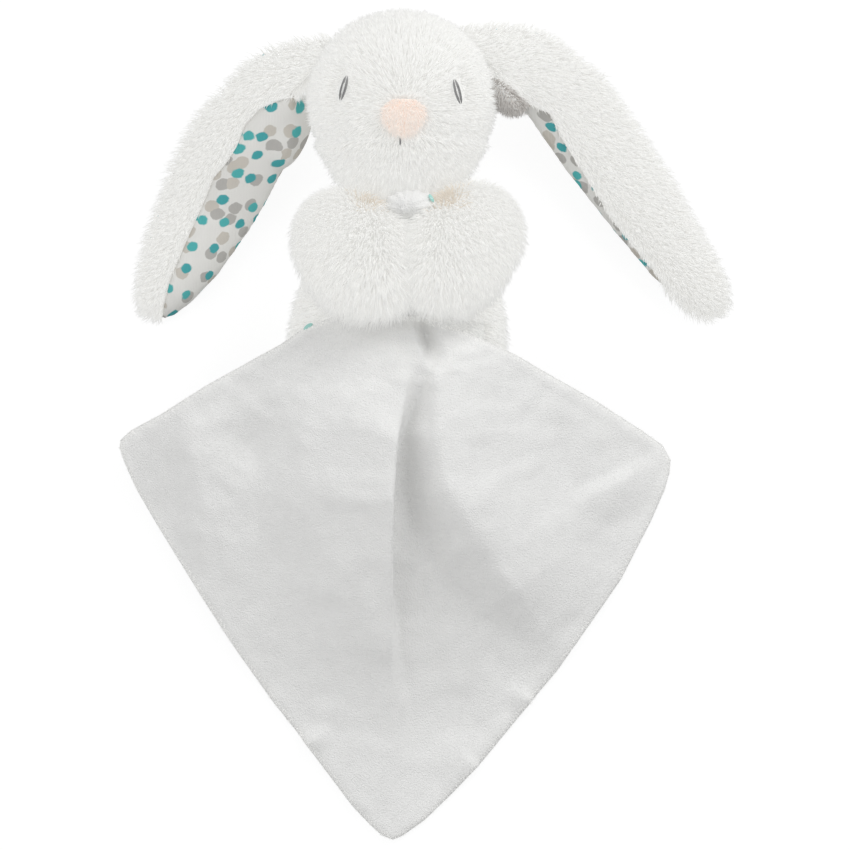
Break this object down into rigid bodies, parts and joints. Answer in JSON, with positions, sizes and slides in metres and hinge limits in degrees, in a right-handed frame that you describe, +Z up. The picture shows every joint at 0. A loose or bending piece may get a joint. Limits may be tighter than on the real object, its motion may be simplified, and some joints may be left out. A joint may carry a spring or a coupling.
{
  "type": "comfort blanket lovey",
  "caption": "Plush rabbit comforter lying on its back: stuffed head with long lined ears, pear-shaped body, and paws tacked round the gathered corner of a square double-layer blanket.",
  "frame": {"origin": "middle of the bounding box in plan, at the level of the floor that the toy lies on", "axes": "+Z up, the way the face looks; +Y from the blanket's free corner towards the crown of the head; +X to the right of a viewer who looks down at the face"},
  "size_m": [0.3008, 0.4121, 0.078],
  "materials": {
    "white_plush": "long-pile plush",
    "pink_plush": "short-pile plush",
    "grey_thread": "satin-stitch embroidery",
    "stuffing": "polyester fibre filling",
    "white_thread": "sewing thread",
    "white_velour": "short-nap velour",
    "printed_jersey": null
  },
  "bodies": {
    "torso": {"body_front_panel": "white_plush", "body_back_panel": "white_plush", "body_stuffing": "stuffing"},
    "neck": {"neck_thread": "white_thread"},
    "head": {"face_left_panel": "white_plush", "face_right_panel": "white_plush", "head_back_panel": "white_plush", "head_stuffing": "stuffing", "nose_patch": "pink_plush", "left_eye_embroidery": "grey_thread", "right_eye_embroidery": "grey_thread", "mouth_stitch": "grey_thread"},
    "left_ear": {"left_ear_fur": "white_plush", "left_ear_lining": "printed_jersey"},
    "right_ear": {"right_ear_fur": "white_plush", "right_ear_lining": "printed_jersey"},
    "arms": {"left_arm_sleeve": "white_plush", "left_arm_stuffing": "stuffing", "right_arm_sleeve": "white_plush", "right_arm_stuffing": "stuffing", "paw_tack": "white_thread", "blanket_held_corner": "white_velour"},
    "blanket": {"blanket_front_panel": "white_velour", "blanket_back_panel": "printed_jersey"}
  },
  "joints": [
    {"name": "head_tilt", "type": "hinge", "parent": "torso", "child": "neck", "pos_m": [-0.0126, 0.1175, 0.034], "axis": [0, 0, 1], "range_deg": [-8, 8]},
    {"name": "head_nod", "type": "hinge", "parent": "neck", "child": "head", "pos_m": [-0.0126, 0.1175, 0.034], "axis": [1, 0, 0], "range_deg": [0, 8]},
    {"name": "left_ear_lift", "type": "hinge", "parent": "head", "child": "left_ear", "pos_m": [-0.0564, 0.17939, 0.04525], "axis": [-0.8331, 0.5532, 0], "range_deg": [0, 90]},
    {"name": "right_ear_lift", "type": "hinge", "parent": "head", "child": "right_ear", "pos_m": [0.02761, 0.18562, 0.04525], "axis": [-0.7428, -0.6695, 0], "range_deg": [0, 90]},
    {"name": "arms_lift", "type": "hinge", "parent": "torso", "child": "arms", "pos_m": [-0.0126, 0.113, 0.052], "axis": [-1, 0, 0], "range_deg": [0, 20]},
    {"name": "blanket_lift", "type": "hinge", "parent": "arms", "child": "blanket", "pos_m": [-0.0236, 0.0535, 0.0525], "axis": [-1, 0, 0], "range_deg": [0, 80]}
  ]
}
